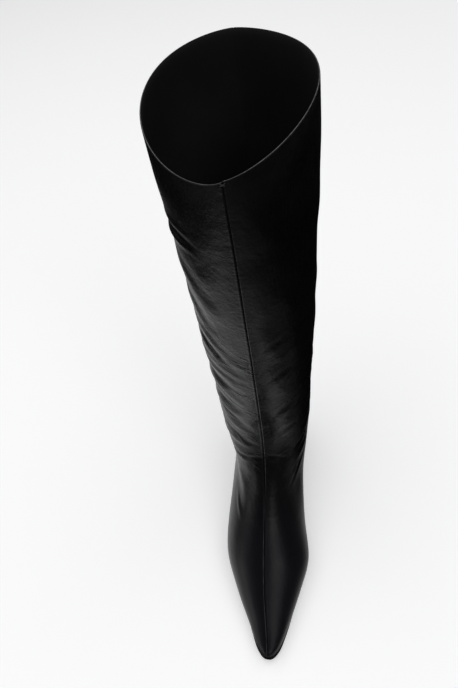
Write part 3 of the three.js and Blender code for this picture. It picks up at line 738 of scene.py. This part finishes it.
# Collar edge: its grey is a painted highlight of the cut edge catching the light, paler in patches.
EDGE_GLINT_GREY, EDGE_GLINT_PALE = (0.085, 0.083, 0.086, 1.0), (0.16, 0.155, 0.155, 1.0)
edge_glint, w, shader = shaded("collar_edge_glint", Specular_IOR_Level=0.5)
glint_patches = w.ramp(w.noise(w.place(), 420.0, 3.0, 0.7), 0.4, 0.7)
w.set(shader, "Base Color", w.blend(glint_patches, EDGE_GLINT_GREY, EDGE_GLINT_PALE))
w.set(shader, "Roughness", w.total(0.42, w.product(glint_patches, 0.2)))
w.set(shader, "Normal", w.bump(0.3, 0.0001, glint_patches))

for material in (leather, lining, edge_glint):
    upper.data.materials.append(material)
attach(upper, "root")
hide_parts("upper")

# Collar tack
# A small cross of waxed black thread, sewn through both panels at the top of the front seam so that
# the seam can't open there. Its two stitches lie one over the other.
TACK_PLACE, TACK_SPAN, TACK_SLOPE, THREAD_RADIUS = 2.4, 1.5, 0.6, 0.22
STITCH_POINTS, STITCH_RISE, STITCH_BOW, STITCH_CROSS = 9, 1.25, 0.75, 0.12
THREAD_BLACK, THREAD_PALE = (0.02, 0.019, 0.02, 1.0), (0.06, 0.058, 0.06, 1.0)
tack_row = int(np.argmin(np.abs(down_at[:, front_column] - TACK_PLACE)))
tack_centre = outside[tack_row, front_column]
tack_out = normals[tack_row, front_column]
tack_down = unit(skin[tack_row + 1, front_column] - skin[tack_row, front_column])
tack_across = np.cross(tack_down, tack_out)
thread_curve = bpy.data.curves.new("collar_tack", "CURVE")
thread_curve.dimensions = "3D"
thread_curve.bevel_depth = THREAD_RADIUS * MM
thread_curve.bevel_resolution = 3
for lean in (-1, 1):
    spline = thread_curve.splines.new("POLY")
    spline.points.add(STITCH_POINTS - 1)
    for point, share in zip(spline.points, np.linspace(-1, 1, STITCH_POINTS)):
        along = (tack_down * TACK_SLOPE + tack_across * lean) * share * TACK_SPAN
        rise = STITCH_RISE - STITCH_BOW * share**2 + STITCH_CROSS * lean
        point.co = (*placed(tack_centre + along + tack_out * rise), 1.0)
tack = shown("collar_tack", thread_curve)
thread, w, shader = shaded("waxed_thread", Roughness=0.5)
twist = w.add("ShaderNodeTexWave", {"wave_type": "BANDS"}, Vector=w.place(), Scale=900.0,
              Distortion=1.0).outputs["Fac"]
w.set(shader, "Base Color", w.blend(twist, THREAD_BLACK, THREAD_PALE))
w.set(shader, "Normal", w.bump(0.5, 0.0001, twist))
tack.data.materials.append(thread)
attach(tack, "root")

# Insole
# A fibre board covered in thin black calf. It lies in the upper on the sole line, cemented to the
# lasted edge, and closes the boot underneath.
INSOLE_THICKNESS, INSOLE_INSET, INSOLE_ROUND, INSOLE_GAP = 2.5, 2.15, 0.6, 0.05
INSOLE_BLACK, INSOLE_PALE = (0.012, 0.0118, 0.012, 1.0), (0.026, 0.0245, 0.024, 1.0)
feather_outer = skin[heel_row:, 0]
feather_inner = skin[heel_row:, -1]
rung_count = len(feather_outer)
feather_loop = np.concatenate([feather_outer, feather_inner[-2:0:-1]])[:, :2]


def outline_at(offset):
    """The feather line moved outwards in plan, as the outer and the inner points of its rungs."""
    ahead = unit(np.roll(feather_loop, -1, axis=0) - feather_loop)
    turned = unit(ahead + np.roll(ahead, 1, axis=0))
    out = np.stack([turned[:, 1], -turned[:, 0]], axis=1)
    size = len(feather_loop)
    if np.dot(out[size // 4], feather_loop[size // 4] - feather_loop[3 * size // 4]) < 0:
        out = -out
    moved = feather_loop + out * offset
    outer = moved[:rung_count]
    inner = np.concatenate([moved[:1], moved[rung_count:][::-1], moved[rung_count - 1 : rung_count]])
    return outer, inner


def plate_mesh(title, rims, columns):
    """Closed plate over the rungs of the seat. Each rim, from the top down, is an offset from the
    feather line and a height as a function of the share of the length."""
    across = np.linspace(0, 1, columns)[None, :, None]
    layers = []
    for offset, height in rims:
        outer, inner = outline_at(offset)
        plan = outer[:, None] * (1 - across) + inner[:, None] * across
        layers.append(np.concatenate([plan, height(-plan[..., 1:] / boot_length)], axis=2))
    count = rung_count * columns
    top, low = layers[0], layers[-1]
    vertices = [top.reshape(-1, 3), low.reshape(-1, 3)]
    shape_faces = [sheet_faces(rung_count, columns), sheet_faces(rung_count, columns, count, False)]
    index = np.arange(count).reshape(rung_count, columns)
    edge = np.concatenate([index[:, 0], index[-1, 1:-1], index[::-1, -1], index[0, -2:0:-1]])
    edge = np.append(edge, edge[0])
    rings = [edge]
    base = 2 * count
    for layer in layers[1:-1]:
        ring = layer.reshape(-1, 3)[edge]
        vertices.append(ring)
        rings.append(np.arange(len(ring)) + base)
        base += len(ring)
    rings.append(edge + count)
    for first, second in zip(rings, rings[1:]):
        shape_faces.append(strip_faces(first, second))
    made = new_object(title, placed(np.concatenate(vertices)), np.concatenate(shape_faces))
    join_doubles(made)
    return made


insole = plate_mesh("insole_cover", [
    (-INSOLE_INSET - INSOLE_ROUND, lambda share: sole_line(share) + INSOLE_THICKNESS),
    (-INSOLE_INSET, lambda share: sole_line(share) + INSOLE_THICKNESS - INSOLE_ROUND),
    (-INSOLE_INSET, lambda share: sole_line(share) + INSOLE_GAP),
], columns=13)
insole_cover, w, shader = shaded("insole_calf", Specular_IOR_Level=0.4)
grain = grain_at(w, w.place(), 1300.0)
w.set(shader, "Base Color", w.blend(grain["Mottle"], INSOLE_BLACK, INSOLE_PALE))
w.set(shader, "Roughness", w.total(0.5, w.product(grain["Mottle"], 0.2)))
w.set(shader, "Normal", w.bump(0.3, 0.0001, grain["Height"]))
insole.data.materials.append(insole_cover)
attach(insole, "root")
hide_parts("insole")

# Outsole
# A thin leather sole cemented under the feather line, its edge trimmed just proud of the upper,
# inked black and burnished; the tread is scuffed under the ball.
SOLE_EDGE, WAIST_END, shank_thickness = 1.2, 0.5, 2.6
# Rims from the top down: how far inside the edge, and how far below the top as a share of the
# sole's thickness and in millimetres besides.
SOLE_RIMS = ((0.35, 0.0, 0.0), (0.1, 0.0, 0.12), (0.0, 0.0, 0.45), (0.1, 0.55, 0.0), (0.5, 1.0, -0.3),
             (0.8, 1.0, 0.0))
INK_BLACK, INK_PALE = (0.003, 0.0028, 0.0028, 1.0), (0.007, 0.0065, 0.0063, 1.0)
BARE_TREAD = (0.12, 0.098, 0.08, 1.0)


def sole_depth(share):
    """Thickness of the outsole at a share of the length."""
    part = np.clip((share - WAIST_END) / (tread_start - WAIST_END), 0, 1)
    return shank_thickness + (sole_thickness - shank_thickness) * part * part * (3 - 2 * part)


def sole_rim(inset, part, below):
    """One rim of the sole: its offset and its height as a function of the share of the length."""
    return SOLE_EDGE - inset, lambda share: (
        sole_line(share) - piece_gap - part * sole_depth(share) - below)


outsole = plate_mesh("leather_outsole", [sole_rim(*numbers) for numbers in SOLE_RIMS], columns=25)
sole_leather, w, shader = shaded("inked_sole_leather", Specular_IOR_Level=0.25)
place = w.place()
grain = grain_at(w, place, 600.0)
under = w.fade(w.parts(w.add("ShaderNodeNewGeometry").outputs["Normal"])["Z"], -0.9, -0.6)
touching = w.product(under, w.fade(w.parts(place)["Z"], 0.0004, 0.0016))
streaks = w.add("ShaderNodeMapping", Vector=place, Scale=(420.0, 60.0, 60.0))
scratches = w.ramp(w.noise(streaks.outputs[0], 1.0, 5.0, 0.7), 0.5, 0.72)
worn = w.product(touching, w.total(0.35, w.product(scratches, 0.65)))
ink = w.blend(grain["Mottle"], INK_BLACK, INK_PALE)
w.set(shader, "Base Color", w.blend(worn, ink, BARE_TREAD))
w.set(shader, "Roughness", w.total(0.42, w.product(worn, 0.35)))
w.set(shader, "Normal", w.bump(0.4, 0.00015, w.total(grain["Height"], scratches)))
outsole.data.materials.append(sole_leather)
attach(outsole, "root")
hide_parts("outsole")

# Heel block
# A low slim block set back under the seat, covered in the upper's leather. It tapers from the
# outline of the seat to that of the top lift, with a straight breast in front.
BREAST_PLACE, HEEL_INSET, HEEL_CURVE = 50.0, 1.5, 1.7
LIFT_WIDTH, LIFT_DEPTH, LIFT_THICKNESS, LIFT_ROUND = 39.0, 37.0, 6.0, 0.85
HEEL_RINGS, HEEL_POINTS, BREAST_POINTS = 22, 72, 18
CORNER_ROUND, CORNER_REACH, CORNER_CUT = 2.0, 1.1, 0.42
HEEL_RUB_GREY = (0.05, 0.046, 0.044, 1.0)


def even_line(points, count):
    """Points at even distances along a line."""
    gone = length_along(points)
    at = np.linspace(0, gone[-1], count)
    return np.stack([np.interp(at, gone, points[:, k]) for k in range(points.shape[1])], axis=1)


def seat_line():
    """Outline under the seat from the inner front corner round the back to the outer one."""
    outer, inner = outline_at(SOLE_EDGE - HEEL_INSET)
    sides = []
    for line in (inner, outer):
        kept = line[-line[:, 1] < BREAST_PLACE]
        last, following = kept[-1], line[len(kept)]
        part = (BREAST_PLACE + last[1]) / (last[1] - following[1])
        sides.append(np.concatenate([kept, [last + (following - last) * part]]))
    return even_line(np.concatenate([sides[0][::-1], sides[1][1:]]), HEEL_POINTS)


def lift_line():
    """Outline of the top lift: straight in front, round behind."""
    turn = np.linspace(0, np.pi, HEEL_POINTS)
    sine = np.maximum(np.sin(turn), 0)
    sway = np.sign(np.cos(turn)) * np.abs(np.cos(turn)) ** LIFT_ROUND
    along = LIFT_PLACE + LIFT_DEPTH * (1 - sine**LIFT_ROUND)
    line = np.stack([sway * LIFT_WIDTH / 2, -along], axis=1)
    return even_line(line, HEEL_POINTS)


def closed_outline(line, round_off):
    """Outline with its straight front added and its two front corners cut round."""
    first, last = line[0], line[-1]
    share = np.linspace(0, 1, BREAST_POINTS)[1:-1, None]
    loop = np.concatenate([line, last + (first - last) * share])
    away = np.minimum(np.linalg.norm(loop - first, axis=1), np.linalg.norm(loop - last, axis=1))
    pull = CORNER_CUT * round_off * np.exp(-((away / (CORNER_REACH * round_off)) ** 2))
    return loop + unit(loop.mean(axis=0) - loop) * pull[:, None]


def ring_stack(title, rings):
    """Closed body over rings of equally many points, from the top down, with fan ends."""
    count = len(rings[0])
    vertices = np.concatenate([*rings, [rings[0].mean(axis=0)], [rings[-1].mean(axis=0)]])
    index = np.arange(count * len(rings)).reshape(len(rings), count)
    index = np.concatenate([index, index[:, :1]], axis=1)
    shape_faces = [tuple(f) for a, b in zip(index, index[1:]) for f in strip_faces(a, b)]
    top, low = len(vertices) - 2, len(vertices) - 1
    shape_faces += [(index[0, k + 1], index[0, k], top) for k in range(count)]
    shape_faces += [(index[-1, k], index[-1, k + 1], low) for k in range(count)]
    made = new_object(title, placed(vertices), shape_faces)
    join_doubles(made)
    return made


seat, lift_outline = seat_line(), lift_line()
heel_low = LIFT_THICKNESS + piece_gap
heel_rings = []
for part in np.linspace(0, 1, HEEL_RINGS):
    taper = 1 - (1 - part) ** HEEL_CURVE
    outline = closed_outline(seat + (lift_outline - seat) * taper, CORNER_ROUND)
    ceiling = sole_line(-outline[:, 1] / boot_length) - 2 * piece_gap - shank_thickness
    floor_height = heel_height + piece_gap + (heel_low - heel_height - piece_gap) * part
    height = np.minimum(floor_height, ceiling + (heel_low - ceiling) * part * part)
    heel_rings.append(np.column_stack([outline, np.minimum(height, ceiling)]))
heel = ring_stack("covered_heel", heel_rings)
heel_cover, w, shader = shaded("heel_cover_nappa", Specular_IOR_Level=0.5)
place = w.place()
grain = grain_at(w, place, 1000.0)
rub = w.product(w.fade(w.parts(place)["Z"], 0.0065, 0.012),
                w.ramp(w.noise(place, 300.0, 4.0, 0.7), 0.45, 0.7))
heel_tone = w.blend(grain["Mottle"], BLACK, WORN_BLACK)
w.set(shader, "Base Color", w.blend(rub, heel_tone, HEEL_RUB_GREY))
w.set(shader, "Roughness", w.total(0.36, w.product(rub, 0.25)))
w.set(shader, "Normal", w.bump(0.3, 0.00012, grain["Height"]))
heel.data.materials.append(heel_cover)
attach(heel, "root")
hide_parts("heel")

# Top lift
# The hard rubber plate under the heel, cut to its outline and nailed on, dulled and scratched where
# it meets the floor.
LIFT_RIMS = (
    (0.5, LIFT_THICKNESS), (0.1, LIFT_THICKNESS - 0.15), (0.0, LIFT_THICKNESS - 0.5), (0.0, 0.7),
    (0.15, 0.2), (0.6, 0.0),
)
RUBBER_BLACK, RUBBER_DUST = (0.012, 0.012, 0.0125, 1.0), (0.07, 0.066, 0.062, 1.0)
lift_rings = []
for inset, height in LIFT_RIMS:
    loop = closed_outline(lift_outline, CORNER_ROUND)
    loop = loop + unit(loop.mean(axis=0) - loop) * inset
    lift_rings.append(np.column_stack([loop, np.full(len(loop), height)]))
top_lift = ring_stack("rubber_top_lift", lift_rings)
rubber, w, shader = shaded("lift_rubber_black", Specular_IOR_Level=0.4)
place = w.place()
speck = w.ramp(w.noise(place, 700.0, 3.0, 0.7), 0.4, 0.7)
ground = w.fade(w.parts(place)["Z"], 0.0, 0.0012)
w.set(shader, "Base Color", w.blend(w.product(ground, speck), RUBBER_BLACK, RUBBER_DUST))
w.set(shader, "Roughness", w.total(0.55, w.product(speck, 0.2)))
w.set(shader, "Normal", w.bump(0.4, 0.0002, speck))
top_lift.data.materials.append(rubber)
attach(top_lift, "root")
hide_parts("top_lift")

# Studio
# A seamless floor of pale paper with one soft light overhead. A large softbox on each side and a low
# card in front on the left put the sheen on the leather; the camera looks down into the collar.
FLOOR_HALF, FLOOR_DROP = 6.0, 0.0002
PAPER_WHITE, PAPER_PALE = (0.88, 0.88, 0.885, 1.0), (0.86, 0.86, 0.865, 1.0)


def square_sheet(title, half, height):
    """Flat square about the origin, in metres."""
    corners = [(-half, -half, height), (half, -half, height), (half, half, height),
               (-half, half, height)]
    return new_object(title, corners, [(0, 1, 2, 3)])


floor = square_sheet("studio_floor", FLOOR_HALF, 0)
floor.location.z = cad_low[2] - FLOOR_DROP
paper, w, shader = shaded("pale_paper", Roughness=0.9, Specular_IOR_Level=0.1,
                          Emission_Color=(1.0, 1.0, 1.0, 1.0), Emission_Strength=0.3)
w.set(shader, "Base Color", w.blend(w.noise(w.place(), 3.0), PAPER_PALE, PAPER_WHITE))
floor.data.materials.append(paper)


def area_light(title, spot, aim, extent, power, glossy=True):
    """Soft rectangular light that faces a point; sizes in metres, power in watts."""
    lamp = bpy.data.lights.new(title, "AREA")
    lamp.shape = "RECTANGLE"
    lamp.size, lamp.size_y = extent
    lamp.energy = power
    holder = shown(title, lamp)
    holder.location = spot
    holder.rotation_euler = (Vector(aim) - Vector(spot)).to_track_quat("-Z", "Y").to_euler()
    holder.visible_glossy = glossy


area_light("overhead_light", (0.0, 0.0, 2.8), (0.0, 0.0, 0.0), (5.0, 5.0), 104.0, glossy=False)
area_light("left_softbox", (-1.7, -0.2, 0.9), (0.0, 0.0, 0.2), (1.6, 1.2), 1.5)
area_light("front_left_card", (-1.25, -0.81, 0.2), (0.0, -0.05, 0.1), (0.9, 0.5), 1.5)
area_light("right_softbox", (0.85, -0.85, 1.35), (0.0, -0.1, 0.03), (0.8, 0.8), 2.2)
# A dark sheet laid round the boot, seen by reflections alone, paints dark reflections on the
# leather as of shade round it and keeps it black. It thickens away from the boot: soon on the inner
# side, further off to the left and in front. Each way gives an axis, where the sheet starts, where
# it is full, and how thick it gets; two patches more paint reflected shade in front of the toe and
# beside the heel on the inner side.
SHADE_SHEET_HALF, SHADE_SHEET_HEIGHT = 2.0, 0.0004
SHADE_SHEET_WAYS = (("X", 0.02, 0.13, 0.9), ("X", 0.1, 0.3, 1.0), ("X", -0.18, -0.42, 1.0),
              ("Y", -0.08, -0.32, 0.8), ("Y", -0.34, -0.6, 1.0))
SHADE_SHEET_BLACK, SHADE_SHEET_PALE = (0.003, 0.003, 0.003, 1.0), (0.006, 0.006, 0.006, 1.0)
WORLD_WHITE, WORLD_STRENGTH = (0.9, 0.92, 1.0, 1.0), 0.05
reflected_shade = square_sheet("reflected_shade_sheet", SHADE_SHEET_HALF, SHADE_SHEET_HEIGHT)
reflected_shade.visible_camera = False
reflected_shade.visible_diffuse = False
reflected_shade.visible_shadow = False
shade_sheet_material, w, shader = shaded("reflected_shade_black", Roughness=1.0, Specular_IOR_Level=0.0)
place = w.place()
w.set(shader, "Base Color", w.blend(w.noise(place, 9.0), SHADE_SHEET_BLACK, SHADE_SHEET_PALE))
spot = w.parts(place)
thick = 0.0
for axis, start, full, most in SHADE_SHEET_WAYS:
    thick = w.math("MAXIMUM", thick, w.ramp(spot[axis], start, full, 0.0, most))
toe_front = w.product(w.ramp(spot["Y"], -0.125, -0.143, 0.0, 0.9),
                      w.fade(w.math("ABSOLUTE", spot["X"]), 0.015, 0.05))
heel_side = w.product(w.ramp(spot["X"], 0.03, 0.08), w.ramp(spot["Y"], -0.06, 0.05))
w.set(shader, "Alpha", w.math("MAXIMUM", w.math("MAXIMUM", thick, toe_front), heel_side))
reflected_shade.data.materials.append(shade_sheet_material)
world = bpy.data.worlds.new("studio_dark")
world.use_nodes = True
background = world.node_tree.nodes["Background"]
background.inputs["Color"].default_value = WORLD_WHITE
background.inputs["Strength"].default_value = WORLD_STRENGTH
bpy.context.scene.world = world
bpy.context.scene.view_settings.view_transform = "Standard"

# The camera stands at the place solved for the photo's, turned and widened to hold the whole boot.
PHOTO_WIDTH, PHOTO_HEIGHT, PHOTO_FOCUS = 458, 688, 660.5
CAMERA_PLACE = (0.05291, -0.24722, 0.59891)
TURN, DROP, ROLL = math.radians(2.13), math.radians(57.3), math.radians(-2.55)
CENTRE_PIXEL, ZOOM_OUT = (112.0, 266.0), 0.84
SENSOR = 36.0
ahead = Vector((math.sin(TURN) * math.cos(DROP), math.cos(TURN) * math.cos(DROP), -math.sin(DROP)))
level = Vector((math.cos(TURN), -math.sin(TURN), 0.0))
below = ahead.cross(level)
right = level * math.cos(ROLL) + below * math.sin(ROLL)
down_axis = below * math.cos(ROLL) - level * math.sin(ROLL)
aim = (ahead + right * ((CENTRE_PIXEL[0] - PHOTO_WIDTH / 2) / PHOTO_FOCUS)
       + down_axis * ((CENTRE_PIXEL[1] - PHOTO_HEIGHT / 2) / PHOTO_FOCUS)).normalized()
swing = ahead.rotation_difference(aim).to_matrix()
camera_data = bpy.data.cameras.new("studio_camera")
camera_data.sensor_fit = "VERTICAL"
camera_data.sensor_height = SENSOR
camera_data.lens = SENSOR * PHOTO_FOCUS / PHOTO_HEIGHT * ZOOM_OUT
camera_data.clip_start = 0.02
camera = shown("studio_camera", camera_data)
axes = Matrix((swing @ right, swing @ -down_axis, swing @ -ahead)).transposed()
camera.matrix_world = Matrix.Translation(CAMERA_PLACE) @ axes.to_4x4()
bpy.context.scene.camera = camera
